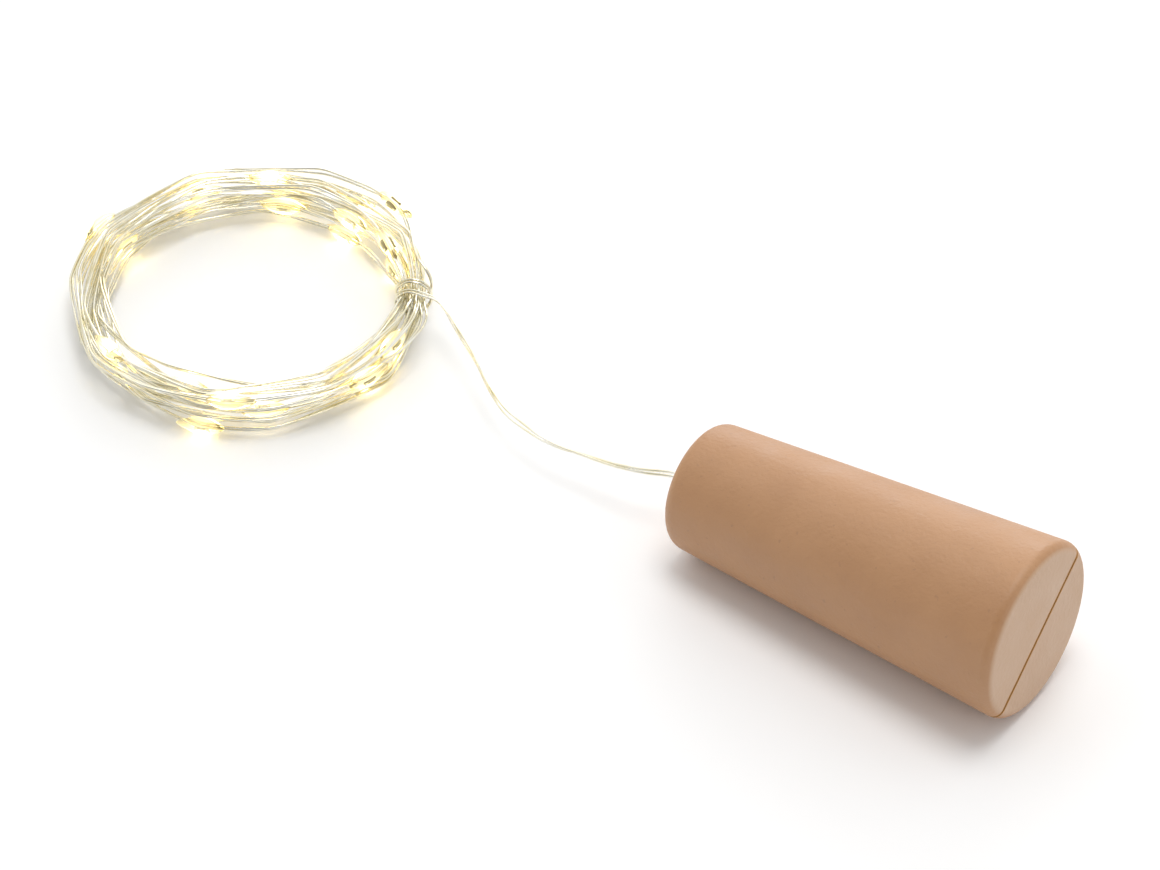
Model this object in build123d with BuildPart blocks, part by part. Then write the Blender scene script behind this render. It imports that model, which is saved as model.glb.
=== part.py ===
from build123d import *
import math
import os

os.makedirs("parts", exist_ok=True)

# Stopper case: a cone frustum that lies on its side, its lowest line on the floor
cork_length = 45.0
big_end_diameter = 21.0
small_end_diameter = 15.1
big_end_round = 1.2
small_end_round = 1.8
shell_wall = 1.3
nose_wall = 2.0
end_wall = 1.8

# Seam between the two shells
parting_drop = 0.6  # the seam runs this far under the axis
cover_lean = 37.0  # degrees from upright to the way the cover lifts off
seam_gap = 0.15
seam_step = 0.1  # how far the groove along the seam widens into each shell
seam_depth = 0.25

# Locating pins of the cover and their sockets in the body
pin_diameter = 1.6
pin_length = 2.4
pin_tip_chamfer = 0.3
pin_play = 0.05
socket_spare_depth = 0.6
boss_wall = 0.8
boss_sink = 0.3  # how far a boss runs into the side wall
pin_inset = 2.2

# Webs and bulkheads that stand across the shells
web_thickness = 1.0
bulkhead_thickness = 1.2
holddown_play = 0.3
holddown_start = 3.0

# Button cells
cell_diameter = 11.6
cell_height = 5.4
cell_count = 3
cell_play = 0.15
can_wall = 0.3
can_round = 0.25
seal_wall = 0.6
cap_proud = 0.2

# Contacts and the conical spring
contact_sheet = 0.3
contact_width = 9.0
contact_corner = 1.0
tab_width = 2.4
tab_reach = 1.8
spring_wire = 0.5
spring_length = 3.0
spring_turns = 3
spring_base_radius = 3.4
spring_tip_radius = 1.7

# Circuit board, screws and resistor
board_thickness = 1.0
board_gap = 0.5
board_play = 0.3
screw_diameter = 1.6
screw_length = 4.0
screw_play = 0.02
screw_head_diameter = 2.6
screw_head_height = 0.9
screw_inset = 1.5
screw_boss_wall = 0.5
driver_slot_length = 1.6
driver_slot_width = 0.4
driver_slot_depth = 0.45
board_hole_play = 0.15
resistor_length = 3.2
resistor_width = 1.6
resistor_height = 0.6
resistor_cap = 0.5
resistor_inset = 1.4

# Slide switch, drawn with its knob at the lit end of its travel
switch_length = 8.6
switch_width = 3.0
switch_base_height = 0.8
switch_can_height = 2.8
switch_can_wall = 0.3
switch_room = 0.3
knob_length = 2.0
knob_width = 1.4
knob_travel = 2.0
knob_proud = 0.4
knob_tip_chamfer = 0.2
slot_play = 0.3
carrier_length = 3.6
carrier_play = 0.15
wiper_sheet = 0.2
wiper_width = 1.6
terminal_diameter = 0.6
terminal_pitch = 2.5
terminal_proud = 0.7

# Solder and the glue that anchors the wire
solder_diameter = 1.5
solder_top_diameter = 0.8
solder_height = 0.55
glue_diameter = 5.0
glue_length = 3.0
glue_room = 1.0
glue_play = 0.02
strand_turn_in = 1.0

# Wire string: one round section stands for the pair of strands
wire_diameter = 0.6
strand_diameter = 0.4
nose_hole_diameter = 1.6
lead_straight = 2.5
lead_tail = 3.0
floor_gap = 0.05

# Coil of the wire string, measured from the origin
coil_centre_x = -87.2
coil_centre_y = -1.5
coil_radius = 19.75
coil_layers = 4
layer_turns = 3.5
climb_turns = 0.5
tie_angle = 40.0  # degrees, where the coil runs into its tie
tie_gap = 0.15
tie_corner = 0.8
tie_pitch = 1.2
tie_start = 2.6
tie_turns = 2

# Light drops on the wire, each at so many turns of the coil from the tie
led_turns = [
    0.10, 0.73, 1.595, 2.225, 3.05, 4.12, 4.68, 5.30, 5.91, 6.86,
    7.40, 8.15, 9.05, 9.76, 10.40, 11.21, 12.13, 13.05, 13.875, 14.705,
]
bead_diameter = 2.3
bead_length = 5.6
bead_end_diameter = 0.9
bead_play = 0.05
chip_length = 1.6
chip_width = 0.8
chip_height = 0.45
chip_gap = 0.02

# Shape of the frustum
big_end_radius = big_end_diameter / 2
small_end_radius = small_end_diameter / 2
taper = (big_end_radius - small_end_radius) / cork_length
half_angle = math.atan(taper)


def outer_radius(u):
    return small_end_radius + taper * u


def inner_radius(u):
    return outer_radius(u) - shell_wall / math.cos(half_angle)


# The origin is under the middle of the case's box, so the nose stands back by half its reach
nose_round_ring = outer_radius(small_end_round) - small_end_round / math.cos(half_angle)
end_round_ring = outer_radius(cork_length - big_end_round) - big_end_round / math.cos(half_angle)
reach_back = small_end_round * (1 - math.cos(half_angle)) + nose_round_ring * math.sin(half_angle)
reach_front = (
    (cork_length - big_end_round) * math.cos(half_angle)
    + end_round_ring * math.sin(half_angle)
    + big_end_round
)
nose_centre = Vector((reach_back - reach_front) / 2, 0, small_end_radius * math.cos(half_angle))

# Case plane: x runs from the nose to the big end, z is the way the cover lifts off
along = Vector(math.cos(half_angle), 0, math.sin(half_angle))
upright = Vector(-math.sin(half_angle), 0, math.cos(half_angle))
lean = math.radians(cover_lean)
lift = upright * math.cos(lean) - Vector(0, 1, 0) * math.sin(lean)
case = Plane(origin=nose_centre, x_dir=along, z_dir=lift)
case_axis = Axis(case.origin, case.x_dir)
lift_axis = Axis(case.origin, case.z_dir)


def case_point(u, v, w):
    return case.from_local_coords(Vector(u, v, w))


# Plane square to the case's axis, x across and y towards the cover
def section(u):
    return Plane(origin=case_point(u, 0, 0), x_dir=case.y_dir, z_dir=case.x_dir)


# Plane along the seam, at a height above the case's axis
def level(w):
    return case.offset(w)


# Heights of the two flanges beside the seam
body_flange = -parting_drop - seam_gap / 2
cover_flange = -parting_drop + seam_gap / 2

# Stations along the axis, from the nose
glue_end = nose_wall + glue_length
front_bulkhead = glue_end + glue_room
negative_face = front_bulkhead + bulkhead_thickness
spring_start = negative_face + contact_sheet
cells_start = spring_start + spring_length
cells_end = cells_start + cell_count * cell_height
rear_bulkhead = cells_end + contact_sheet
rear_bulkhead_end = rear_bulkhead + bulkhead_thickness
case_inside_end = cork_length - end_wall
board_start = rear_bulkhead_end + board_gap
board_end = case_inside_end - board_gap
board_middle = (board_start + board_end) / 2

# Pins near both ends, against the side walls
pin_radius = pin_diameter / 2
boss_radius = pin_radius + boss_wall
pin_stations = [nose_wall + pin_inset, case_inside_end - pin_inset]
pin_offsets = [inner_radius(u) + boss_sink - boss_radius for u in pin_stations]
pin_places = [(u, side * v) for u, v in zip(pin_stations, pin_offsets) for side in (-1, 1)]

# Board between the rear bosses, its top level with the body's flange
board_half_width = pin_offsets[-1] - boss_radius - board_play
board_bottom = body_flange - board_thickness
screw_places = [(board_middle, side * (board_half_width - screw_inset)) for side in (-1, 1)]
switch_base_bottom = board_bottom - switch_base_height
switch_bottom = switch_base_bottom - switch_can_height
knob_rest = board_middle - knob_travel / 2
knob_tip = -outer_radius(board_middle) - knob_proud
terminal_places = [(board_middle + n * terminal_pitch, 0) for n in (-1, 0, 1)]


# Tapered form, inset from the outside of the case, with its two rims rounded
def tapered_form(nose_inset, end_inset, wall_inset, nose_round=0, end_round=0):
    start = nose_inset
    stop = cork_length - end_inset
    drop = wall_inset / math.cos(half_angle)
    with BuildPart() as form:
        with BuildSketch(case) as half_outline:
            with BuildLine():
                Polyline(
                    (start, 0),
                    (stop, 0),
                    (stop, outer_radius(stop) - drop),
                    (start, outer_radius(start) - drop),
                    close=True,
                )
            make_face()
            if end_round:
                rims = half_outline.vertices().sort_by(Axis.Y)
                fillet(rims[-1], end_round)
            if nose_round:
                rims = half_outline.vertices().group_by(Axis.X)[0].sort_by(Axis.Y)
                fillet(rims[-1], nose_round)
        revolve(axis=case_axis)
    return form


case_form = tapered_form(0, 0, 0, small_end_round, big_end_round)
seam_form = tapered_form(
    seam_depth,
    seam_depth,
    seam_depth,
    small_end_round - seam_depth,
    big_end_round - seam_depth,
)
cavity = tapered_form(nose_wall, end_wall, shell_wall)
wall_middle = tapered_form(nose_wall / 2, end_wall / 2, shell_wall / 2)

# Groove along the seam: what lies outside the seam's inset form, beside both flanges
with BuildPart() as seam_groove:
    with BuildSketch(level(body_flange - seam_step)):
        with Locations((cork_length / 2, 0)):
            Rectangle(2 * cork_length, 2 * big_end_diameter)
    extrude(amount=seam_gap + 2 * seam_step)
    add(seam_form.part, mode=Mode.SUBTRACT)

# Webs, bulkheads and bosses of the body, trimmed inside its wall
glue_web = nose_wall + (glue_length - web_thickness) / 2
cell_webs = [
    cells_start + (n + 0.5) * cell_height - web_thickness / 2 for n in range(cell_count)
]
board_webs = [board_start + board_play, board_end - board_play - web_thickness]
with BuildPart() as body_insides:
    for station in [glue_web] + cell_webs + board_webs:
        with BuildSketch(section(station)):
            Circle(outer_radius(station))
        extrude(amount=web_thickness)
    for station in (front_bulkhead, rear_bulkhead):
        with BuildSketch(section(station)):
            Circle(outer_radius(station))
        extrude(amount=bulkhead_thickness)
    with BuildSketch(level(body_flange)):
        with Locations(*pin_places):
            Circle(boss_radius)
    extrude(amount=-big_end_radius)
    with BuildSketch(section(nose_wall)):
        Circle(glue_diameter / 2 + glue_play)
    extrude(amount=glue_length, mode=Mode.SUBTRACT)
    with BuildSketch(section(spring_start)):
        Circle(cell_diameter / 2 + cell_play)
    extrude(amount=cells_end - spring_start, mode=Mode.SUBTRACT)
    with BuildSketch(level(body_flange)):
        with Locations((board_middle, 0)):
            Rectangle(board_end - board_start + board_play, 2 * board_half_width + board_play)
    extrude(amount=-board_thickness, mode=Mode.SUBTRACT)
    with BuildSketch(level(board_bottom)):
        with Locations((board_middle, 0)):
            Rectangle(switch_length + 2 * switch_room, switch_width + 2 * switch_room)
    extrude(amount=switch_bottom - switch_room - board_bottom, mode=Mode.SUBTRACT)
    with BuildSketch(level(board_bottom)):
        with Locations(*screw_places):
            Circle(screw_diameter / 2 + screw_play + screw_boss_wall)
    extrude(amount=-big_end_radius)
    split(bisect_by=level(body_flange), keep=Keep.BOTTOM)
    add(wall_middle.part, mode=Mode.INTERSECT)

with BuildPart() as body_shell:
    add(case_form.part)
    add(cavity.part, mode=Mode.SUBTRACT)
    split(bisect_by=level(body_flange), keep=Keep.BOTTOM)
    add(seam_groove.part, mode=Mode.SUBTRACT)
    add(body_insides.part)
    with BuildSketch(level(body_flange)):
        with Locations(*pin_places):
            Circle(pin_radius + pin_play)
    extrude(amount=-pin_length - socket_spare_depth, mode=Mode.SUBTRACT)
    with BuildSketch(level(board_bottom)):
        with Locations(*screw_places):
            Circle(screw_diameter / 2 + screw_play)
    extrude(amount=board_thickness - screw_length - socket_spare_depth, mode=Mode.SUBTRACT)
    with BuildSketch(level(switch_bottom)):
        with Locations((board_middle, 0)):
            Rectangle(
                knob_length + knob_travel + 2 * slot_play,
                knob_width + 2 * slot_play,
            )
    extrude(amount=-big_end_diameter, mode=Mode.SUBTRACT)
    with BuildSketch(section(nose_wall)):
        Circle(nose_hole_diameter / 2)
    extrude(amount=-2 * nose_wall, mode=Mode.SUBTRACT)

# Bosses and hold-down ribs of the cover, trimmed inside its wall
holddown_ribs = [cell_webs[0], cell_webs[-1]]
with BuildPart() as cover_insides:
    for station in holddown_ribs:
        with BuildSketch(section(station)):
            Circle(outer_radius(station))
        extrude(amount=web_thickness)
    with BuildSketch(section(spring_start)):
        Circle(cell_diameter / 2 + holddown_play)
    extrude(amount=cells_end - spring_start, mode=Mode.SUBTRACT)
    split(bisect_by=level(holddown_start), keep=Keep.TOP)
    with BuildSketch(level(cover_flange)):
        with Locations(*pin_places):
            Circle(boss_radius)
    extrude(amount=big_end_radius)
    add(wall_middle.part, mode=Mode.INTERSECT)

with BuildPart() as battery_cover:
    add(case_form.part)
    add(cavity.part, mode=Mode.SUBTRACT)
    split(bisect_by=level(cover_flange), keep=Keep.TOP)
    add(seam_groove.part, mode=Mode.SUBTRACT)
    add(cover_insides.part)
    with BuildSketch(level(cover_flange)):
        with Locations(*pin_places):
            Circle(pin_radius)
    extrude(amount=-pin_length)
    pin_tips = battery_cover.faces().sort_by(lift_axis)[: len(pin_places)]
    chamfer(pin_tips.edges(), pin_tip_chamfer)
    with BuildSketch(section(nose_wall)):
        Circle(nose_hole_diameter / 2)
    extrude(amount=-2 * nose_wall, mode=Mode.SUBTRACT)

# Button cells, their caps towards the nose
cell_starts = [cells_start + n * cell_height for n in range(cell_count)]
cell_radius = cell_diameter / 2
can_bore_radius = cell_radius - can_wall
cap_radius = can_bore_radius - seal_wall
can_depth = cell_height - cap_proud
with BuildPart() as cell_cans:
    for station in cell_starts:
        with BuildSketch(section(station + cap_proud)):
            Circle(cell_radius)
        extrude(amount=can_depth)
    fillet(cell_cans.edges().filter_by(GeomType.CIRCLE), can_round)
    for station in cell_starts:
        with BuildSketch(section(station + cap_proud)):
            Circle(can_bore_radius)
        extrude(amount=can_depth - can_wall, mode=Mode.SUBTRACT)

with BuildPart() as cell_seals:
    for station in cell_starts:
        with BuildSketch(section(station + cap_proud)):
            Circle(can_bore_radius)
            Circle(cap_radius, mode=Mode.SUBTRACT)
        extrude(amount=can_depth - can_wall)

with BuildPart() as cell_caps:
    for station in cell_starts:
        with BuildSketch(section(station)):
            Circle(cap_radius)
        extrude(amount=cell_height - can_wall)

# Contact plates against the bulkheads
with BuildPart() as negative_plate:
    with BuildSketch(section(negative_face)):
        RectangleRounded(contact_width, contact_width, contact_corner)
    extrude(amount=contact_sheet)

with BuildPart() as positive_plate:
    with BuildSketch(section(cells_end)):
        RectangleRounded(contact_width, contact_width, contact_corner)
    extrude(amount=contact_sheet)
    tab_end = board_start + tab_reach
    with BuildSketch(level(body_flange)):
        with Locations(((cells_end + tab_end) / 2, 0)):
            Rectangle(tab_end - cells_end, tab_width)
    extrude(amount=contact_sheet)


# Arcs in pairs from each point to the next, keeping the direction at every point
def biarc_line(points, tangents):
    with BuildLine() as line:
        for start, end, leave, arrive in zip(points, points[1:], tangents, tangents[1:]):
            chord = end - start
            turn = 2 * (1 - leave.dot(arrive))
            pull = chord.dot(leave + arrive)
            handle = (math.sqrt(pull**2 + turn * chord.dot(chord)) - pull) / turn
            knee_in = start + leave * handle
            knee_out = end - arrive * handle
            middle = (knee_in + knee_out) * 0.5
            TangentArc(start, middle, tangent=leave)
            TangentArc(middle, end, tangent=knee_out - knee_in)
    return line.wire()


# Points and directions at each quarter of a turn
def quarter_turns(curve, turns):
    count = round(4 * turns)
    steps = [turns * n / count for n in range(count + 1)]
    nudge = 0.01
    points = [curve(t) for t in steps]
    tangents = [(curve(t + nudge) - curve(t - nudge)).normalized() for t in steps]
    return points, tangents


def round_tube(path, diameter):
    with BuildPart() as tube:
        with BuildSketch(Plane(origin=path @ 0, z_dir=path % 0)):
            Circle(diameter / 2)
        sweep(path=path)
    expected = math.pi * diameter**2 / 4 * path.length
    print(f"tube {path.length:.1f} mm long, volume over section times length",
          f"{tube.part.volume / expected:.4f}")
    return tube


# Least gap of a wound wire to itself, on points at least two fifths of a turn apart
def least_gap(curve, turns, diameter):
    per_turn = 60
    points = [curve(n / per_turn) for n in range(round(turns * per_turn) + 1)]
    apart = round(0.4 * per_turn)
    return min(
        (points[n] - points[m]).length - diameter
        for n in range(apart, len(points))
        for m in range(n - apart + 1)
    )


# Conical spring from the negative plate to the first cell's cap
def spring_point(turn):
    angle = 2 * math.pi * turn
    share = turn / spring_turns
    radius = spring_base_radius + (spring_tip_radius - spring_base_radius) * share
    u = spring_start + spring_wire / 2 + (spring_length - spring_wire) * share
    return case_point(u, radius * math.cos(angle), radius * math.sin(angle))


negative_spring = round_tube(biarc_line(*quarter_turns(spring_point, spring_turns)), spring_wire)
print(f"spring least gap {least_gap(spring_point, spring_turns, spring_wire):.2f} mm")

# Circuit board, its screws and the resistor
with BuildPart() as circuit_board:
    with BuildSketch(level(board_bottom)):
        with Locations((board_middle, 0)):
            Rectangle(board_end - board_start, 2 * board_half_width)
        with Locations(*screw_places):
            Circle(screw_diameter / 2 + board_hole_play, mode=Mode.SUBTRACT)
        with Locations(*terminal_places):
            Circle(terminal_diameter / 2 + board_hole_play, mode=Mode.SUBTRACT)
    extrude(amount=board_thickness)

with BuildPart() as board_screws:
    with BuildSketch(level(body_flange)):
        with Locations(*screw_places):
            Circle(screw_head_diameter / 2)
    extrude(amount=screw_head_height)
    with BuildSketch(level(body_flange)):
        with Locations(*screw_places):
            Circle(screw_diameter / 2)
    extrude(amount=-screw_length)
    with BuildSketch(level(body_flange + screw_head_height)):
        with Locations(*screw_places):
            Rectangle(driver_slot_length, driver_slot_width)
            Rectangle(driver_slot_width, driver_slot_length)
    extrude(amount=-driver_slot_depth, mode=Mode.SUBTRACT)

resistor_place = (board_start + resistor_inset, board_half_width - resistor_length / 2 - board_play)
with BuildPart() as resistor_body:
    with BuildSketch(level(body_flange)):
        with Locations(resistor_place):
            Rectangle(resistor_width, resistor_length - 2 * resistor_cap)
    extrude(amount=resistor_height)

with BuildPart() as resistor_caps:
    with BuildSketch(level(body_flange)):
        with Locations(resistor_place):
            Rectangle(resistor_width, resistor_length)
            Rectangle(resistor_width, resistor_length - 2 * resistor_cap, mode=Mode.SUBTRACT)
    extrude(amount=resistor_height)

# Slide switch under the board
with BuildPart() as switch_base:
    with BuildSketch(level(board_bottom)):
        with Locations((board_middle, 0)):
            Rectangle(switch_length, switch_width)
        with Locations(*terminal_places):
            Circle(terminal_diameter / 2, mode=Mode.SUBTRACT)
    extrude(amount=-switch_base_height)

with BuildPart() as switch_terminals:
    with BuildSketch(level(switch_base_bottom)):
        with Locations(*terminal_places):
            Circle(terminal_diameter / 2)
    extrude(amount=switch_base_height + board_thickness + terminal_proud)

can_inside_bottom = switch_bottom + switch_can_wall
with BuildPart() as switch_can:
    with BuildSketch(level(switch_base_bottom)):
        with Locations((board_middle, 0)):
            Rectangle(switch_length, switch_width)
    extrude(amount=-switch_can_height)
    with BuildSketch(level(switch_base_bottom)):
        with Locations((board_middle, 0)):
            Rectangle(switch_length - 2 * switch_can_wall, switch_width - 2 * switch_can_wall)
    extrude(amount=switch_can_wall - switch_can_height, mode=Mode.SUBTRACT)
    with BuildSketch(level(can_inside_bottom)):
        with Locations((board_middle, 0)):
            Rectangle(knob_length + knob_travel + carrier_play, knob_width + carrier_play)
    extrude(amount=-2 * switch_can_wall, mode=Mode.SUBTRACT)

carrier_bottom = can_inside_bottom + carrier_play
carrier_top = switch_base_bottom - carrier_play - wiper_sheet
with BuildPart() as switch_knob:
    with BuildSketch(level(carrier_bottom)):
        with Locations((knob_rest, 0)):
            Rectangle(carrier_length, switch_width - 2 * switch_can_wall - 2 * carrier_play)
    extrude(amount=carrier_top - carrier_bottom)
    with BuildSketch(level(carrier_bottom)):
        with Locations((knob_rest, 0)):
            Rectangle(knob_length, knob_width)
    extrude(amount=knob_tip - carrier_bottom)
    knob_end = switch_knob.faces().sort_by(lift_axis)[0]
    chamfer(knob_end.edges(), knob_tip_chamfer)

with BuildPart() as switch_wiper:
    with BuildSketch(level(carrier_top)):
        with Locations((knob_rest, 0)):
            Rectangle(terminal_pitch + terminal_diameter, wiper_width)
    extrude(amount=wiper_sheet)

# Glue plug behind the nose wall, and the two strands that leave it
with BuildPart() as glue_plug:
    with BuildSketch(section(nose_wall)):
        Circle(glue_diameter / 2)
    extrude(amount=glue_length)

negative_strand_place = (strand_diameter * 2, strand_diameter)
with BuildPart() as negative_strand:
    with BuildSketch(section(glue_end)):
        with Locations(negative_strand_place):
            Circle(strand_diameter / 2)
    extrude(amount=negative_face - glue_end)

strand_level = body_flange + strand_diameter / 2
strand_pad = (board_start + resistor_inset, solder_diameter - board_half_width)


# Middle of the free lane between the cells and the side wall
def strand_lane(u):
    return -(cell_radius + inner_radius(u)) / 2


positive_route = [
    (glue_end, -glue_diameter / 4),
    (front_bulkhead, -glue_diameter / 2),
    (negative_face, -contact_width / 2 - 2 * strand_diameter),
    (cells_start - strand_turn_in, strand_lane(cells_start)),
    (cells_end, strand_lane(cells_end)),
    (rear_bulkhead_end, strand_lane(rear_bulkhead) + strand_diameter),
    strand_pad,
]
positive_points = [case_point(u, v, strand_level) for u, v in positive_route]


# Each bend of a route is as wide as its two runs allow
def route_radii(points):
    radii = []
    for before, corner, after in zip(points, points[1:], points[2:]):
        turn = math.radians((corner - before).get_angle(after - corner))
        shorter = min((corner - before).length, (after - corner).length)
        radii.append(0.45 * shorter / math.tan(turn / 2))
    return radii


def route_line(points):
    radii = route_radii(points)
    print("bend radii", [round(r, 1) for r in radii])
    with BuildLine() as line:
        FilletPolyline(*points, radius=radii)
    return line.wire()


positive_strand = round_tube(route_line(positive_points), strand_diameter)

# Solder on the board, on the contact tab and at the negative plate
with BuildPart() as solder_joints:
    for place in terminal_places + [strand_pad]:
        with BuildSketch(level(body_flange)):
            with Locations(place):
                Circle(solder_diameter / 2)
        with BuildSketch(level(body_flange + solder_height)):
            with Locations(place):
                Circle(solder_top_diameter / 2)
        loft()
    with BuildSketch(level(body_flange + contact_sheet)):
        with Locations((tab_end - solder_diameter / 2, 0)):
            Circle(solder_diameter / 2)
    with BuildSketch(level(body_flange + contact_sheet + solder_height)):
        with Locations((tab_end - solder_diameter / 2, 0)):
            Circle(solder_top_diameter / 2)
    loft()
    with BuildSketch(section(negative_face)):
        with Locations(negative_strand_place):
            Circle(solder_diameter / 2)
    with BuildSketch(section(negative_face - solder_height)):
        with Locations(negative_strand_place):
            Circle(solder_top_diameter / 2)
    loft()

# Coil: the spiral runs in and out by turns, and climbs a layer at each reversal
turn_pitch = bead_diameter / 2 + wire_diameter / 2 + bead_play
coil_reach = turn_pitch * layer_turns
coil_turns = coil_layers * layer_turns + (coil_layers - 1) * climb_turns
coil_base = max(bead_diameter / 2, 1.5 * wire_diameter + tie_gap) + floor_gap
coil_height = (coil_layers - 1) * turn_pitch


def coil_point(turn):
    block = layer_turns + climb_turns
    layer = min(max(int(turn / block), 0), coil_layers - 1)
    done = turn - layer * block
    share = min(done, layer_turns) / layer_turns
    inward = layer % 2 == 0
    radius = coil_radius + coil_reach * (0.5 - share if inward else share - 0.5)
    climb = max(done - layer_turns, 0) / climb_turns if layer < coil_layers - 1 else 0
    height = coil_base + turn_pitch * (layer + (1 - math.cos(math.pi * climb)) / 2)
    angle = math.radians(tie_angle) - 2 * math.pi * (turn - coil_turns)
    return Vector(
        coil_centre_x + radius * math.cos(angle),
        coil_centre_y + radius * math.sin(angle),
        height,
    )


coil_points, coil_tangents = quarter_turns(coil_point, coil_turns)
coil_line = biarc_line(coil_points, coil_tangents)
wire_coil = round_tube(coil_line, wire_diameter)
print(f"coil least gap {least_gap(coil_point, coil_turns, wire_diameter):.2f} mm")


# Place beside the ring's middle line: along it past the coil's end, outwards and up
def ring_point(arc, outwards, up):
    angle = math.radians(tie_angle) - arc / coil_radius
    radius = coil_radius + outwards
    return Vector(
        coil_centre_x + radius * math.cos(angle),
        coil_centre_y + radius * math.sin(angle),
        coil_base + coil_height / 2 + up,
    )


# Tie: the same wire, laid twice round the bundle of turns
tie_side = coil_reach / 2 + wire_diameter + tie_gap
tie_top = coil_height / 2 + wire_diameter + tie_gap
tie_points = [coil_points[-1], coil_points[-1] + coil_tangents[-1] * (tie_start / 2)]
tie_points.append(ring_point(tie_start, tie_side - tie_corner, tie_top))
tie_corners = [(-1, 1), (-1, -1), (1, -1), (1, 1)]
for corner in range(4 * tie_turns - 1):
    side, rise = tie_corners[corner % 4]
    arc = tie_start + tie_pitch * (corner + 1) / 4
    tie_points.append(ring_point(arc, side * tie_side, rise * tie_top))
tie_last = tie_start + tie_pitch * tie_turns
tie_points.append(ring_point(tie_last, tie_side, tie_top - tie_corner))
tie_points.append(ring_point(tie_last + 2 * tie_pitch, tie_side + tie_pitch, tie_top))
with BuildLine() as tie_line:
    FilletPolyline(*tie_points, radius=tie_corner)
coil_tie = round_tube(tie_line.wire(), wire_diameter)

# Lead: out of the nose, sagging towards the floor and up again to the tie
tie_way = (tie_points[-1] - tie_points[-2]).normalized()
lead_points = [
    case_point(nose_wall, 0, 0),
    case_point(-lead_straight, 0, 0),
    Vector(-29.0, -0.7, 6.6),
    Vector(-33.5, -1.6, 5.6),
    Vector(-38.0, -1.9, 4.9),
    Vector(-42.5, -1.7, 4.5),
    Vector(-46.5, -0.9, 4.3),
    Vector(-50.5, 0.3, 4.4),
    Vector(-54.0, 2.2, 4.6),
    Vector(-57.3, 4.0, 5.0),
    tie_points[-1] + tie_way * lead_tail,
    tie_points[-1],
]
wire_lead = round_tube(route_line(lead_points), wire_diameter)

# Light drops, each moved on along the wire until it clears its neighbours and the tie
bead_radius = bead_diameter / 2
bead_reach = bead_length / 2 + wire_diameter
tie_zone = (-bead_reach, tie_last + 2 * tie_pitch + bead_reach)
samples_per_turn = 160
sample_count = round(coil_turns * samples_per_turn)
strand_points = [tuple(coil_point(n / samples_per_turn)) for n in range(sample_count + 1)]


# How far a point lies along a drop's axis from its middle, and how far aside
def along_and_aside(point, place, way):
    offset = [a - b for a, b in zip(point, place)]
    run = sum(a * b for a, b in zip(offset, way))
    return run, math.dist(offset, [run * w for w in way])


# A drop's radius at a distance from its middle
def bead_radius_at(run):
    share = max(1 - (2 * run / bead_length) ** 2, 0)
    return bead_end_diameter / 2 + (bead_radius - bead_end_diameter / 2) * share


def clears(place, way, placed):
    heading = math.atan2(place[1] - coil_centre_y, place[0] - coil_centre_x)
    behind = math.remainder(math.radians(tie_angle) - heading, 2 * math.pi)
    if tie_zone[0] < behind * coil_radius < tie_zone[1]:
        return False
    for point in strand_points:
        run, aside = along_and_aside(point, place, way)
        room = bead_radius_at(run) + wire_diameter / 2
        if abs(run) < bead_reach and turn_pitch / 2 < aside < room:
            return False
    for other in placed:
        run, aside = along_and_aside(other, place, way)
        if abs(run) < bead_length and aside < bead_diameter:
            return False
    return True


bead_places = []
bead_planes = []
for turns in led_turns:
    wanted = round((coil_turns - turns) * samples_per_turn)
    for sample in range(wanted, 0, -1):
        before, spot, after = strand_points[sample - 1 : sample + 2]
        reach = math.dist(before, after)
        way = [(b - a) / reach for a, b in zip(before, after)]
        if clears(spot, way, bead_places):
            break
    if sample < wanted:
        print(f"drop at {turns} turns moved on to {coil_turns - sample / samples_per_turn:.3f}")
    bead_places.append(spot)
    side_way = Vector(0, 0, 1).cross(Vector(*way)).normalized()
    bead_planes.append(Plane(origin=spot, x_dir=way, z_dir=Vector(*way).cross(side_way)))

with BuildPart() as chip:
    with BuildSketch(Plane.XY.offset(wire_diameter / 2 + chip_gap)):
        Rectangle(chip_length, chip_width)
    extrude(amount=chip_height)

with BuildPart() as bead:
    with BuildSketch():
        with BuildLine():
            ThreePointArc(
                (-bead_length / 2, bead_end_diameter / 2),
                (0, bead_radius),
                (bead_length / 2, bead_end_diameter / 2),
            )
            Line((bead_length / 2, bead_end_diameter / 2), (bead_length / 2, 0))
            Line((bead_length / 2, 0), (-bead_length / 2, 0))
            Line((-bead_length / 2, 0), (-bead_length / 2, bead_end_diameter / 2))
        make_face()
    revolve(axis=Axis.X)
    add(chip.part, mode=Mode.SUBTRACT)

bead_locations = [plane.location for plane in bead_planes]
with BuildPart() as led_beads:
    with Locations(*bead_locations):
        add(bead.part)

with BuildPart() as led_chips:
    with Locations(*bead_locations):
        add(chip.part)

total_length = coil_line.length + tie_line.wire().length + sum(
    (b - a).length for a, b in zip(lead_points, lead_points[1:])
)
print(f"wire string {total_length:.0f} mm from the nose to its free end")
print("cover lifts along", [round(c, 5) for c in case.z_dir])
print("knob slides along", [round(c, 5) for c in case.x_dir])
print("big end face centre", [round(c, 4) for c in case_point(cork_length, 0, 0)])

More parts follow.
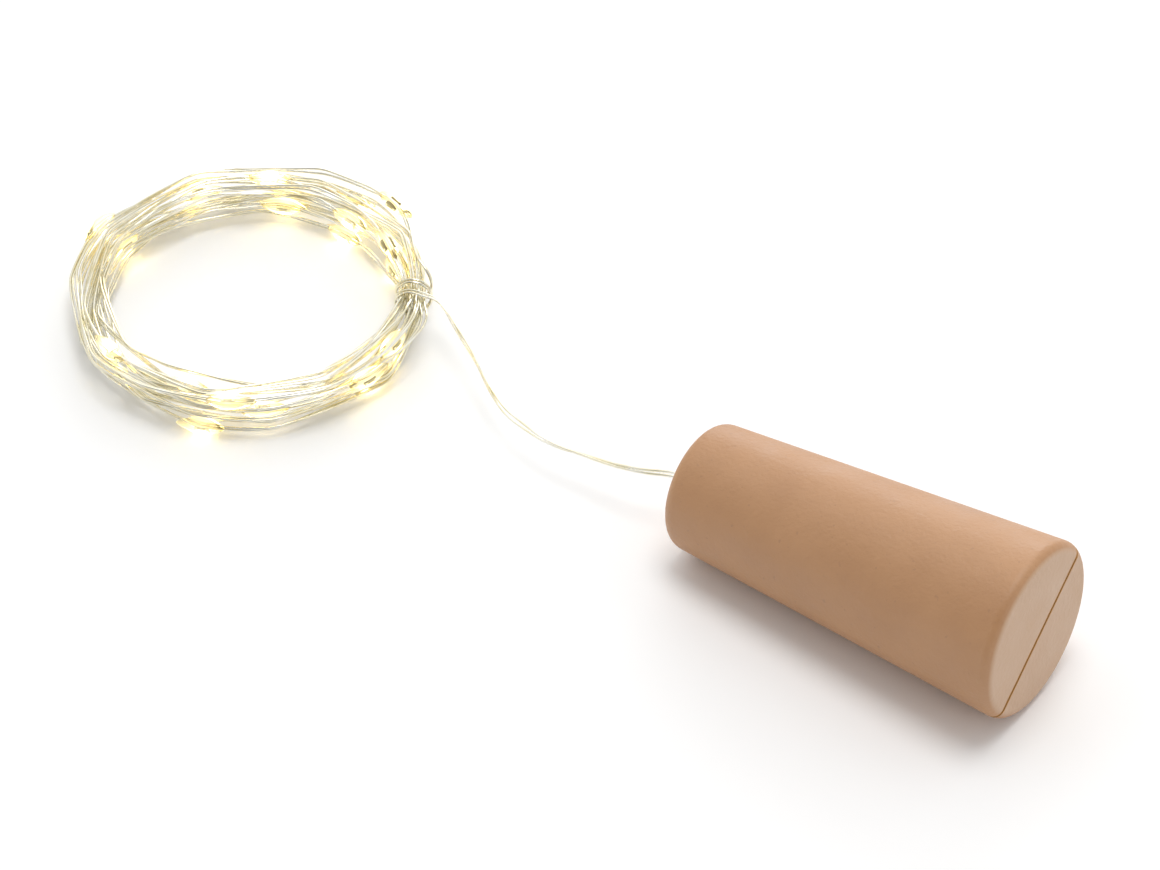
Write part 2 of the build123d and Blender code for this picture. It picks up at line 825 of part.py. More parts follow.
pieces = {
    "body_shell": body_shell,
    "battery_cover": battery_cover,
    "cell_cans": cell_cans,
    "cell_seals": cell_seals,
    "cell_caps": cell_caps,
    "negative_plate": negative_plate,
    "negative_spring": negative_spring,
    "positive_plate": positive_plate,
    "circuit_board": circuit_board,
    "board_screws": board_screws,
    "resistor_body": resistor_body,
    "resistor_caps": resistor_caps,
    "switch_base": switch_base,
    "switch_terminals": switch_terminals,
    "switch_can": switch_can,
    "switch_knob": switch_knob,
    "switch_wiper": switch_wiper,
    "solder_joints": solder_joints,
    "glue_plug": glue_plug,
    "negative_strand": negative_strand,
    "positive_strand": positive_strand,
    "wire_lead": wire_lead,
    "coil_tie": coil_tie,
    "wire_coil": wire_coil,
    "led_beads": led_beads,
    "led_chips": led_chips,
}
for name, piece in pieces.items():
    piece.part.label = name
    export_step(piece.part, f"parts/{name}.step")
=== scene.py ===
import bpy
import bmesh
import math
import random
from mathutils import Matrix, Quaternion, Vector


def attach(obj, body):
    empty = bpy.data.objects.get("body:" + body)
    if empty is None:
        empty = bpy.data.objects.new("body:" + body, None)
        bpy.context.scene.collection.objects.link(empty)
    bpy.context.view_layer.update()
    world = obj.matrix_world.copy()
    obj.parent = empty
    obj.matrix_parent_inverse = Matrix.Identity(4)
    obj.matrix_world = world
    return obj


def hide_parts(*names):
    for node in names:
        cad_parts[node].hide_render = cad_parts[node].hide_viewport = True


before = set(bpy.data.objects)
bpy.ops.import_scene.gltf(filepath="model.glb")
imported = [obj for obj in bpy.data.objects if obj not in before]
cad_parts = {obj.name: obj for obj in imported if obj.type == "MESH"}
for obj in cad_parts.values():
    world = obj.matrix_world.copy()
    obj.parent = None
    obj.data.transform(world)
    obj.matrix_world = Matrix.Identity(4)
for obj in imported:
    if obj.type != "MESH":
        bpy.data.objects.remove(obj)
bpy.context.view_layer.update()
mm = 0.001
scene = bpy.context.scene
print("frame loaded:", len(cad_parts), "nodes")


# Camera, at the photograph's viewing angle
view = {
    "place": (0.16575, -0.28181, 0.33681),
    "aim": (-0.04265, 0.00490, 0.0),
    "lens": 129.13,  # millimetres, as is the sensor's width
    "sensor": 36.0,
    "clip": (0.01, 20.0),
}


def makeCamera():
    data = bpy.data.cameras.new("viewCamera")
    data.lens = view["lens"]
    data.sensor_width = view["sensor"]
    data.sensor_fit = "HORIZONTAL"
    data.clip_start, data.clip_end = view["clip"]
    camera = bpy.data.objects.new("viewCamera", data)
    scene.collection.objects.link(camera)
    place = Vector(view["place"])
    camera.location = place
    camera.rotation_euler = (Vector(view["aim"]) - place).to_track_quat("-Z", "Y").to_euler()
    scene.camera = camera


makeCamera()
print("camera set")


# Small helpers for objects and node trees
def putInScene(name, mesh, body, replaced, materials):
    piece = bpy.data.objects.new(name, mesh)
    scene.collection.objects.link(piece)
    for material in materials:
        mesh.materials.append(material)
    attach(piece, body)
    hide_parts(*replaced)
    return piece


def addNode(tree, kind, settings=None, inputs=None):
    node = tree.nodes.new(kind)
    for name, value in (settings or {}).items():
        setattr(node, name, value)
    for name, value in (inputs or {}).items():
        node.inputs[name].default_value = value
    return node


def newMaterial(name):
    material = bpy.data.materials.new(name)
    material.use_nodes = True
    tree = material.node_tree
    return material, tree, tree.nodes["Principled BSDF"]


def objectNoise(tree, scale, detail=2.0, roughness=0.5):
    where = addNode(tree, "ShaderNodeTexCoord")
    noise = addNode(
        tree,
        "ShaderNodeTexNoise",
        inputs={"Scale": scale, "Detail": detail, "Roughness": roughness},
    )
    tree.links.new(where.outputs["Object"], noise.inputs["Vector"])
    return noise.outputs["Fac"]


# A value turned into a run of colours, each with its place from 0 to 1
def colourRamp(tree, factor, stops):
    ramp = addNode(tree, "ShaderNodeValToRGB")
    elements = ramp.color_ramp.elements
    while len(elements) < len(stops):
        elements.new(0.5)
    for element, (place, colour) in zip(elements, stops):
        element.position = place
        element.color = (*colour, 1.0)
    tree.links.new(factor, ramp.inputs["Fac"])
    return ramp.outputs["Color"]


noiseSpan = (0.3, 0.7)  # where nearly all values of a noise lie


def valueRange(tree, factor, low, high, span=noiseSpan):
    spread = addNode(
        tree,
        "ShaderNodeMapRange",
        inputs={"From Min": span[0], "From Max": span[1], "To Min": low, "To Max": high},
    )
    tree.links.new(factor, spread.inputs["Value"])
    return spread.outputs["Result"]


def bumpFrom(tree, shader, height, distance, strength=1.0, under=None):
    bump = addNode(tree, "ShaderNodeBump", inputs={"Strength": strength, "Distance": distance})
    tree.links.new(height, bump.inputs["Height"])
    if under is not None:
        tree.links.new(under, bump.inputs["Normal"])
    tree.links.new(bump.outputs["Normal"], shader.inputs["Normal"])
    return bump.outputs["Normal"]


# Wire string: lead, tie and coil on one route
leadPoints = [  # metres, from behind the nose wall to the tie
    (-0.020565, 0.0, 0.007665),
    (-0.0240, 0.0, 0.0074),
    (-0.0263, -0.0002, 0.0070),
    (-0.0289, -0.0011, 0.0065),
    (-0.0311, -0.0015, 0.0061),
    (-0.0338, -0.0018, 0.0056),
    (-0.0379, -0.0019, 0.0050),
    (-0.0403, -0.0022, 0.0047),
    (-0.0431, -0.0021, 0.0045),
    (-0.0462, -0.0015, 0.0044),
    (-0.0493, -0.0008, 0.0043),
    (-0.0522, 0.0007, 0.0044),
    (-0.0546, 0.0022, 0.0045),
    (-0.0574, 0.0041, 0.0047),
    (-0.0598, 0.0055, 0.0049),
    (-0.0623, 0.0068, 0.0052),
    (-0.0649, 0.0083, 0.0055),
    (-0.0668, 0.0090, 0.0058),
]

coil = {
    "centre": (-87.2, -1.5),  # millimetres, as all sizes here
    "radius": 19.75,
    "height": 3.45,
    "pitch": 1.5,
    "layers": 4,
    "layerTurns": 3.5,
    "climbTurns": 0.5,
    "turns": 15.5,
    "stations": 17,  # places round each turn
    "startAngle": 40.0,
    "pinchAngle": 35.8,  # where the tie draws the turns together
    "pinch": 0.42,
    "pinchReach": 20.0,
    "seed": 11,
    "wander": 0.52,
    "waves": (1.0, 0.6, 0.4),  # shares of the wander that swing once, twice and three times in a turn
    "ripple": 0.30,
    "kinkShare": 0.50,  # chance of a bend right after a bend; after a straight place one always comes
    "kinkHalf": 1.4,  # how far to each side of a bend its two points lie
    "kinkOut": 0.25,  # bends stand out, as the runs between them cut across the ring
    "gatherTo": (0.45, -0.15),  # where the loose turns draw together, outwards and up
    "gather": (0.29, 0.17),
    "gatherSwing": 0.10,
    "gatherAngle": -120.0,  # where they lie closest
    "room": 0.34,
    "dropRoom": 1.15,
    "settleRounds": 30,
    "settleEase": 0.12,
    "lowest": 0.60,
    "furthest": 2.15,
    "strays": [  # turn, angle, half spread in degrees, outwards, up
        (0, 145.0, 42.0, 0.7, 0.5),
        (3, -76.0, 40.0, -2.0, -0.7),
        (11, -66.0, 32.0, -1.0, 0.2),
        (14, -131.0, 9.0, 0.8, 0.0),
        (14, -95.0, 8.0, 0.8, 0.2),
        (7, 108.0, 24.0, 0.3, 0.5),
        (7, -66.0, 30.0, 0.4, -2.0),
        (8, -72.0, 26.0, 1.0, -0.9),
    ],
    "flats": [  # angle, half spread in degrees, inwards: where the whole ring runs straighter
        (-146.0, 27.0, 1.1),
        (152.0, 24.0, 0.8),
        (-40.0, 20.0, 0.6),
    ],
    "drops": [  # turns wound from the tie to each light drop
        0.10, 0.73, 1.595, 2.225, 3.05, 4.12, 4.68, 5.30, 5.91, 6.86,
        7.40, 8.15, 9.05, 9.76, 10.40, 11.21, 12.13, 13.05, 13.875, 14.705,
    ],
    "dropStraight": 2.3,  # how far the wire runs straight to each side of a drop's middle
    "dropClear": 0.055,  # least turns from a drop's middle to a bend
    "dropHold": (0.02, 0.10),  # turns beside a drop's middle where the wire is held, and where it eases
    "tied": (1.45, 1.35),  # how far out and up the turns reach inside the tie
    "tiedRoom": 0.66,
    "tiedRounds": 80,
    "tiedHalf": 5.0,  # degrees from the tie's middle to where the turns spread again
    "tiedClear": 16.0,  # least degrees from the tie's middle to a bend
}

tie = {
    "turns": 2.0,
    "points": 12,  # for each turn
    "startAngle": 30.4,
    "endAngle": 41.6,
    "out": 2.25,
    "up": 2.15,
    "firstLay": 75.0,  # degrees from straight outwards to where the lead comes over
    "leaveFrom": 3,  # points over which the wire turns off along the ring
    "leaveStep": 0.87,  # degrees that it goes on at the first of them, and more at each next
}

strandPair = {
    "strand": 0.30,  # millimetres, as all sizes here but the last two
    "apart": (0.17, 0.44),  # least and most half distance between the two strands
    "over": 0.135,  # half distance where they cross
    "tied": 0.24,  # and in the tie
    "leadLength": 50.0,
    "leadCrossing": 12.0,  # length from one crossing to the next
    "coilCrossing": 34.0,
    "crossingWaves": [(1.3, 19.0), (0.6, 7.3)],  # radians that crossings shift by, and over what length
    "swell": 0.5,  # usual share of the way from the least distance to the most
    "swellWaves": [(0.3, 11.0), (0.2, 4.7)],
    "leanWaves": [(0.9, 31.0)],
    "dropHold": (2.5, 4.0),  # from a drop's middle where the strands lie close, and then to where they part
    "tieBefore": 3.0,  # how far before the tie they begin to lie side by side
    "tieAfter": 2.0,  # how far after it they are free again
    "tieEase": 5.0,  # length of each change
    "routeSteps": 10,  # from each point of the route to the next
    "roundness": 2,
    "length": 2.0,  # metres, as is the diameter
    "diameter": 0.0007,
}


def smoothStep(share):
    share = min(max(share, 0.0), 1.0)
    return share * share * (3.0 - 2.0 * share)


# Angle from one heading to another, from -180 to 180 degrees
def headingApart(a, b):
    return (a - b + 180.0) % 360.0 - 180.0


def woundAngle(wound):
    return coil["startAngle"] + 360.0 * wound


def ringPoint(angle, outwards, up):
    turned = math.radians(angle)
    reach = coil["radius"] + outwards
    return Vector((
        coil["centre"][0] + reach * math.cos(turned),
        coil["centre"][1] + reach * math.sin(turned),
        coil["height"] + up,
    )) * mm


def ringTangent(point):
    outwards = Vector((point.x - coil["centre"][0] * mm, point.y - coil["centre"][1] * mm, 0.0))
    return Vector((-outwards.y, outwards.x, 0.0)).normalized()


# Outwards and up from the bundle's middle: the layers run in and out by turns
def spiralPlace(wound):
    turn = coil["turns"] - wound
    top = coil["layers"] - 1
    block = coil["layerTurns"] + coil["climbTurns"]
    layer = min(int(turn / block), top)
    done = turn - layer * block
    share = min(done / coil["layerTurns"], 1.0) - 0.5
    outwards = coil["pitch"] * coil["layerTurns"] * (share if layer % 2 else -share)
    climb = max(done - coil["layerTurns"], 0.0) / coil["climbTurns"]
    up = coil["pitch"] * (layer + 0.5 - 0.5 * math.cos(math.pi * climb) - 0.5 * top)
    return Vector((outwards, up))


def toNearestDrop(wound):
    return min(abs(wound - drop) for drop in coil["drops"])


# How free the wire is at a place: nought at a drop, one away from all of them
def slackAt(wound):
    held, freed = coil["dropHold"]
    return smoothStep((toNearestDrop(wound) - held) / freed)


def drawPhases(luck, count):
    return [luck.uniform(0.0, 2.0 * math.pi) for _ in range(count)]


# How far a stray or a flat reaches at a heading: one in its middle, nought from its ends on
def reachAt(angle, middle, spread):
    apart = min(abs(headingApart(angle, middle)) / spread, 1.0)
    return 0.5 + 0.5 * math.cos(math.pi * apart)


# Each turn wanders about its place in the bundle, and the tie draws all of them together
def layTurns(luck):
    stations = coil["stations"]
    waves = coil["waves"]
    phases = [drawPhases(luck, 2 * len(waves)) for _ in range(int(coil["turns"]) + 2)]
    laid = []
    for index in range(round(coil["turns"] * stations) + 1):
        wound = index / stations
        turn, share = int(wound), wound % 1.0
        angle = woundAngle(wound)
        turned = math.radians(angle)
        blend = smoothStep(share)
        swing = []
        for first in (0, len(waves)):
            parts = []
            for known in (phases[turn], phases[turn + 1]):
                parts.append(sum(
                    size * math.sin(count * turned + known[first + count - 1])
                    for count, size in enumerate(waves, 1)
                ))
            swing.append(parts[0] * (1.0 - blend) + parts[1] * blend)
        offset = Vector(swing) * coil["wander"]
        for strayTurn, strayAngle, spread, outwards, up in coil["strays"]:
            if turn == strayTurn:
                offset += Vector((outwards, up)) * reachAt(angle, strayAngle, spread)
        for flatAngle, spread, inwards in coil["flats"]:
            offset.x -= inwards * reachAt(angle, flatAngle, spread)
        near = headingApart(angle, coil["pinchAngle"]) / coil["pinchReach"]
        drawn = coil["pinch"] * math.exp(-near * near)
        place = spiralPlace(wound)
        closer = coil["gatherSwing"] * math.cos(turned - math.radians(coil["gatherAngle"]))
        for axis in range(2):
            offset[axis] += (coil["gatherTo"][axis] - place[axis]) * (coil["gather"][axis] + closer)
        offset = offset * (1.0 - drawn) - place * drawn
        laid.append(place + offset * slackAt(wound))
    return laid


# Turns at the same angle push each other apart, the floor holds them up and drops stay put
def settleTurns(laid):
    stations = coil["stations"]
    slack = [slackAt(index / stations) for index in range(len(laid))]
    rooms = [coil["dropRoom"] + (coil["room"] - coil["dropRoom"]) * free for free in slack]
    for _ in range(coil["settleRounds"]):
        for first in range(stations):
            members = range(first, len(laid), stations)
            for a in members:
                for b in members:
                    if a >= b:
                        continue
                    apart = laid[b] - laid[a]
                    short = rooms[a] + rooms[b] - apart.length
                    if short > 0.0 and apart.length > 0.0:
                        push = apart.normalized() * (0.5 * short)
                        laid[a] -= push * slack[a]
                        laid[b] += push * slack[b]
        for index in range(1, len(laid) - 1):
            middle = (laid[index - 1] + laid[index + 1]) * 0.5
            laid[index] = laid[index].lerp(middle, coil["settleEase"] * slack[index])
        for place in laid:
            place.x = min(place.x, coil["furthest"])
            place.y = max(place.y, coil["lowest"] - coil["height"])
    return laid


# Where each turn passes through the tie
def tiedPlaces(laid):
    drawn = 1.0 - coil["pinch"]
    places = [laid[turn * coil["stations"]] * drawn for turn in range(1, int(coil["turns"]) + 1)]
    out, up = coil["tied"]
    for _ in range(coil["tiedRounds"]):
        for a in range(len(places)):
            for b in range(a):
                apart = places[a] - places[b]
                short = coil["tiedRoom"] - apart.length
                if short > 0.0 and apart.length > 0.0:
                    push = apart.normalized() * (0.5 * short)
                    places[a] += push
                    places[b] -= push
        for place in places:
            reach = math.hypot(place.x / out, place.y / up)
            if reach > 1.0:
                place /= reach
    return places


# Middle of each drop, with the way the wire runs there
def dropSeat(wound):
    place = spiralPlace(wound)
    spot = ringPoint(woundAngle(wound), place.x, place.y)
    turned = math.radians(woundAngle(wound))
    return spot, Vector((-math.sin(turned), math.cos(turned), 0.0))


# Control points of the coil: two at each bend, with straight runs between the bends, and
# two beside each drop so that the wire runs through it
def coilPoints(luck):
    stations = coil["stations"]
    laid = settleTurns(layTurns(luck))
    half = math.degrees(coil["kinkHalf"] / coil["radius"])
    besideDrop = math.degrees(coil["dropStraight"] / coil["radius"]) / 360.0
    made = []
    bent = False
    for index, place in enumerate(laid):
        wound = index / stations
        ripple = coil["ripple"] * slackAt(wound)
        outwards = min(place.x + luck.uniform(-ripple, ripple) + coil["kinkOut"], coil["furthest"])
        up = max(place.y + luck.uniform(-ripple, ripple), coil["lowest"] - coil["height"])
        bent = not bent or luck.random() < coil["kinkShare"]
        toTie = abs(headingApart(woundAngle(wound), coil["pinchAngle"]))
        if toNearestDrop(wound) < coil["dropClear"] or toTie < coil["tiedClear"]:
            bent = False
        if bent:
            for side in (-1.0, 1.0):
                angle = woundAngle(wound) + side * half
                made.append((wound + side * half / 360.0, ringPoint(angle, outwards, up)))
    for wound in coil["drops"]:
        spot, way = dropSeat(wound)
        for side in (-1.0, 1.0):
            made.append((wound + besideDrop * side, spot + way * (side * coil["dropStraight"] * mm)))
    for turn, place in enumerate(tiedPlaces(laid), 1):
        for side in (-1.0, 1.0):
            angle = coil["pinchAngle"] + side * coil["tiedHalf"]
            wound = turn + (angle - coil["startAngle"]) / 360.0
            made.append((wound, ringPoint(angle, place.x, place.y)))
    return [point for _, point in sorted(made, key=lambda pair: pair[0])]


def tiePoints():
    made = []
    count = round(tie["turns"] * tie["points"])
    for index in range(count + 1):
        share = index / count
        lay = math.radians(tie["firstLay"] + 360.0 * tie["turns"] * share)
        angle = tie["startAngle"] + (tie["endAngle"] - tie["startAngle"]) * share
        angle += tie["leaveStep"] * max(index - count + tie["leaveFrom"], 0) ** 2
        made.append(ringPoint(angle, tie["out"] * math.cos(lay), tie["up"] * math.sin(lay)))
    return made


def routeCurve(points):
    data = bpy.data.curves.new("wireRoute", "CURVE")
    data.dimensions = "3D"
    data.resolution_u = strandPair["routeSteps"]
    spline = data.splines.new("NURBS")
    spline.points.add(len(points) - 1)
    for control, point in zip(spline.points, points):
        control.co = (*point, 1.0)
    spline.order_u = 3
    spline.use_endpoint_u = True
    return bpy.data.objects.new("wireRoute", data)


# Points along the route, with the way it runs and a side way that turns with it
def readRoute(route):
    mesh = bpy.data.meshes.new_from_object(route)
    points = [vertex.co.copy() for vertex in mesh.vertices]
    bpy.data.meshes.remove(mesh)
    ways = []
    for index in range(len(points)):
        before = points[max(index - 1, 0)]
        after = points[min(index + 1, len(points) - 1)]
        ways.append((after - before).normalized())
    sides = [ways[0].orthogonal().normalized()]
    for before, after in zip(ways, ways[1:]):
        side = before.rotation_difference(after) @ sides[-1]
        sides.append((side - after * side.dot(after)).normalized())
    lengths = [0.0]
    for before, after in zip(points, points[1:]):
        lengths.append(lengths[-1] + (after - before).length)
    return points, ways, sides, lengths


def runLength(points):
    return sum((Vector(b) - Vector(a)).length for a, b in zip(points, points[1:])) / mm


def waveSum(waves, run, phases):
    return sum(size * math.sin(run / length + phase) for (size, length), phase in zip(waves, phases))


# Two strands that lie side by side and cross over now and then, but not in the tie
def strandMesh(points, ways, sides, lengths, seats, luck):
    tieFrom = runLength(leadPoints)
    tieTo = tieFrom + runLength(tiePoints())
    phases = drawPhases(luck, 5)
    least, most = strandPair["apart"]
    held, freed = strandPair["dropHold"]
    before, after, ease = strandPair["tieBefore"], strandPair["tieAfter"], strandPair["tieEase"]
    strands = [[], []]
    for point, way, side, length in zip(points, ways, sides, lengths):
        run = length / mm
        lead = min(run, strandPair["leadLength"])
        turned = math.pi * (lead / strandPair["leadCrossing"] + (run - lead) / strandPair["coilCrossing"])
        turned += waveSum(strandPair["crossingWaves"], run, phases[:2])
        swell = strandPair["swell"] + waveSum(strandPair["swellWaves"], run, phases[2:4])
        toDrop = min((point - spot).length for spot, _ in seats) / mm
        spread = least + (most - least) * swell * smoothStep((toDrop - held) / freed)
        flat = Quaternion(way, waveSum(strandPair["leanWaves"], run, phases[4:])) @ side
        over = strandPair["over"] * math.sin(turned)
        offset = flat * (spread * math.cos(turned)) + way.cross(flat) * over
        tied = smoothStep((run - tieFrom + before) / ease) * smoothStep((tieTo + after - run) / ease)
        beside = ringTangent(point)
        beside = (beside - way * beside.dot(way)).normalized() * strandPair["tied"]
        offset = offset.lerp(beside, tied)
        strands[0].append(point + offset * mm)
        strands[1].append(point - offset * mm)
    data = bpy.data.curves.new("wirePair", "CURVE")
    data.dimensions = "3D"
    data.bevel_depth = 0.5 * strandPair["strand"] * mm
    data.bevel_resolution = strandPair["roundness"]
    data.use_fill_caps = True
    for strand in strands:
        spline = data.splines.new("POLY")
        spline.points.add(len(strand) - 1)
        for control, point in zip(spline.points, strand):
            control.co = (*point, 1.0)
    tubes = bpy.data.objects.new("wirePair", data)
    mesh = bpy.data.meshes.new_from_object(tubes)
    bpy.data.objects.remove(tubes)
    mesh.materials.clear()
    for face in mesh.polygons:
        face.use_smooth = True
    return mesh


wireSilver = {
    "tarnishScale": 240.0,
    "colours": [
        (0.30, (0.89, 0.82, 0.58)),
        (0.52, (0.96, 0.925, 0.79)),
        (0.70, (0.995, 0.985, 0.93)),
    ],
    "edge": (0.55, 0.52, 0.34),  # the lacquer's tint where the wire turns away
    "roughness": (0.05, 0.12),
    "grain": (3200.0, 0.00001, 0.15),  # scale, depth in metres and strength
}


def silverWire():
    material, tree, shader = newMaterial("silverWire")
    shader.inputs["Metallic"].default_value = 1.0
    shader.inputs["Specular Tint"].default_value = (*wireSilver["edge"], 1.0)
    tarnish = objectNoise(tree, wireSilver["tarnishScale"], 2.0)
    tree.links.new(colourRamp(tree, tarnish, wireSilver["colours"]), shader.inputs["Base Color"])
    tree.links.new(valueRange(tree, tarnish, *wireSilver["roughness"]), shader.inputs["Roughness"])
    scale, depth, strength = wireSilver["grain"]
    bumpFrom(tree, shader, objectNoise(tree, scale), depth, strength)
    return material


def makeWire():
    luck = random.Random(coil["seed"])
    route = routeCurve([Vector(point) for point in leadPoints] + tiePoints() + coilPoints(luck))
    points, ways, sides, lengths = readRoute(route)
    bpy.data.objects.remove(route)
    print(f"wire route {lengths[-1]:.3f} m, {len(points)} points")
    seats = [dropSeat(wound) for wound in coil["drops"]]
    piece = putInScene(
        "wire_string",
        strandMesh(points, ways, sides, lengths, seats, luck),
        "case",
        ["wire_lead", "coil_tie", "wire_coil"],
        [silverWire()],
    )
    return piece, points, seats


wireString, routePoints, dropSeats = makeWire()
print("wire string made")


# Light drops of clear resin, each over a lit chip on the wire
lightDrop = {
    "seed": 23,
    "length": 6.2,  # millimetres, as all sizes here
    "width": 2.36,
    "sides": 10,
    "profile": [  # shares of the length and of half the width
        (-0.56, 0.0), (-0.52, 0.20), (-0.40, 0.48), (-0.18, 0.88), (0.02, 1.0),
        (0.20, 0.84), (0.35, 0.46), (0.43, 0.20), (0.45, 0.0),
    ],
    "lengths": (0.92, 1.04),  # least and most share of the length, and of the girth
    "girths": (0.94, 1.0),
    "chip": (1.6, 0.8, 0.22),
    "phosphor": (1.15, 0.72, 0.26),
    "pad": (0.34, 0.84, 0.26),
    "chipGap": 0.02,  # from the strands to the chip
    "chipBevel": 0.03,
    "phosphorBevel": 0.06,
    "rolls": [  # degrees from upwards to the way each chip shines
        180, 20, 0, 30, 175, 120, 10, 90, 165, 175, 120, 120, 90, 60, 150, 170, 130, 150, 150, 140,
    ],
    "glowReach": 1.5,
    "glowBehind": 0.15,  # share of the glow on the side away from the chip
    "rounding": 2,
}


def dropPlace(seat, luck):
    spot, way = seat
    side = Vector((0.0, 0.0, 1.0)).cross(way).normalized()
    if luck.random() < 0.5:
        way, side = -way, -side
    turn = Matrix((way, side, way.cross(side))).transposed().to_4x4()
    return Matrix.Translation(spot) @ turn


# Painted glow: how brightly each place on a drop is painted as lit through, most over the chip's lit side
def paintedDropGlow(mesh, roll):
    shine = Quaternion((1.0, 0.0, 0.0), math.radians(roll)) @ Vector((0.0, 0.0, 1.0))
    behind = lightDrop["glowBehind"]
    glow = []
    for vertex in mesh.vertices:
        near = vertex.co.x / mm / lightDrop["glowReach"]
        across = Vector((0.0, vertex.co.y, vertex.co.z)).normalized()
        facing = 0.5 + 0.5 * across.dot(shine)
        glow.append(math.exp(-near * near) * (behind + (1.0 - behind) * facing * facing))
    return glow


# The drop's profile turned about its length: a point at each end and rings between them
def dropShape():
    sides = lightDrop["sides"]
    length, half = lightDrop["length"] * mm, 0.5 * lightDrop["width"] * mm
    first, *rings, last = lightDrop["profile"]
    points = [(first[0] * length, 0.0, 0.0)]
    for along, across in rings:
        for side in range(sides):
            turned = 2.0 * math.pi * side / sides
            radius = across * half
            points.append((along * length, -radius * math.sin(turned), radius * math.cos(turned)))
    points.append((last[0] * length, 0.0, 0.0))
    lastStep = (len(rings) - 1) * sides
    faces = []
    for side in range(sides):
        here, beside = 1 + side, 1 + (side + 1) % sides
        faces.append((0, beside, here))
        for step in range(0, lastStep, sides):
            faces.append((here + step, beside + step, beside + step + sides, here + step + sides))
        faces.append((here + lastStep, beside + lastStep, len(points) - 1))
    mesh = bpy.data.meshes.new("dropShape")
    mesh.from_pydata(points, [], faces)
    return mesh


def block(size, centre, materialIndex, bevel):
    shape = bmesh.new()
    bmesh.ops.create_cube(shape, size=1.0)
    bmesh.ops.scale(shape, vec=Vector(size) * mm, verts=shape.verts)
    bmesh.ops.bevel(
        shape,
        geom=shape.edges[:],
        offset=bevel * mm,
        affect="EDGES",
        segments=2,
        profile=0.5,
        material=-1,
    )
    bmesh.ops.translate(shape, vec=Vector(centre) * mm, verts=shape.verts)
    for face in shape.faces:
        face.material_index = materialIndex
    mesh = bpy.data.meshes.new("block")
    shape.to_mesh(mesh)
    shape.free()
    return mesh


# One chip: a dark base across the two strands, a lit block on it and a metal pad at each end
def chipParts():
    base, lit, pad = lightDrop["chip"], lightDrop["phosphor"], lightDrop["pad"]
    bottom = 0.5 * strandPair["strand"] + lightDrop["chipGap"]
    top = bottom + base[2]
    ends = 0.5 * (base[0] - pad[0])
    bevel = lightDrop["chipBevel"]
    return [
        block(base, (0.0, 0.0, bottom + 0.5 * base[2]), 1, bevel),
        block(lit, (0.0, 0.0, top + 0.5 * lit[2]), 0, lightDrop["phosphorBevel"]),
        block(pad, (ends, 0.0, bottom + 0.5 * pad[2]), 2, bevel),
        block(pad, (-ends, 0.0, bottom + 0.5 * pad[2]), 2, bevel),
    ]


def gather(shapes):
    joined = bmesh.new()
    for mesh, place in shapes:
        copy = mesh.copy()
        copy.transform(place)
        joined.from_mesh(copy)
        bpy.data.meshes.remove(copy)
    mesh = bpy.data.meshes.new("gathered")
    joined.to_mesh(mesh)
    joined.free()
    return mesh


dropResin = {
    "colour": (0.97, 0.91, 0.70),
    "bending": 1.5,
    "hazeScale": 900.0,
    "roughness": (0.02, 0.10),
    "glowColours": [
        (0.0, (1.0, 0.78, 0.30)),
        (0.5, (1.0, 0.89, 0.54)),
        (1.0, (1.0, 0.96, 0.82)),
    ],
    "glowLevels": (0.03, 1.5),
    "ripples": (1100.0, 0.00005, 0.4),  # scale, depth in metres and strength
}


def clearResin():
    material, tree, shader = newMaterial("clearResin")
    shader.inputs["Base Color"].default_value = (*dropResin["colour"], 1.0)
    shader.inputs["Transmission Weight"].default_value = 1.0
    shader.inputs["IOR"].default_value = dropResin["bending"]
    haze = objectNoise(tree, dropResin["hazeScale"])
    tree.links.new(valueRange(tree, haze, *dropResin["roughness"]), shader.inputs["Roughness"])
    # Painted glow: the resin's own emission stands in for the chip's light scattered inside it
    glow = addNode(tree, "ShaderNodeAttribute", {"attribute_name": "glow"}).outputs["Fac"]
    tree.links.new(colourRamp(tree, glow, dropResin["glowColours"]), shader.inputs["Emission Color"])
    level = valueRange(tree, glow, *dropResin["glowLevels"], span=(0.0, 1.0))
    tree.links.new(level, shader.inputs["Emission Strength"])
    scale, depth, strength = dropResin["ripples"]
    bumpFrom(tree, shader, objectNoise(tree, scale), depth, strength)
    # Light from the chip passes through the resin
    path = addNode(tree, "ShaderNodeLightPath")
    through = addNode(tree, "ShaderNodeBsdfTransparent")
    mix = addNode(tree, "ShaderNodeMixShader")
    tree.links.new(path.outputs["Is Shadow Ray"], mix.inputs["Fac"])
    tree.links.new(shader.outputs["BSDF"], mix.inputs[1])
    tree.links.new(through.outputs["BSDF"], mix.inputs[2])
    tree.links.new(mix.outputs["Shader"], tree.nodes["Material Output"].inputs["Surface"])
    return material


chipFinish = {
    "litScale": 2500.0,
    "lit": [(0.35, (0.92, 0.66, 0.22)), (0.65, (0.97, 0.78, 0.36))],
    "litRoughness": 0.5,
    "light": (1.0, 0.76, 0.27),
    "lightLevel": 10.0,
    "baseScale": 3000.0,
    "base": [(0.35, (0.045, 0.042, 0.012)), (0.65, (0.090, 0.080, 0.026))],
    "baseRoughness": 0.45,
    "tinScale": 1800.0,
    "tin": [(0.35, (0.50, 0.50, 0.49)), (0.65, (0.68, 0.67, 0.64))],
    "tinRoughness": (0.18, 0.42),
    "tinBump": (0.00004, 0.6),  # depth in metres and strength
}


def litChip():
    material, tree, shader = newMaterial("litChip")
    colour = colourRamp(tree, objectNoise(tree, chipFinish["litScale"]), chipFinish["lit"])
    tree.links.new(colour, shader.inputs["Base Color"])
    shader.inputs["Roughness"].default_value = chipFinish["litRoughness"]
    shader.inputs["Emission Color"].default_value = (*chipFinish["light"], 1.0)
    shader.inputs["Emission Strength"].default_value = chipFinish["lightLevel"]
    return material


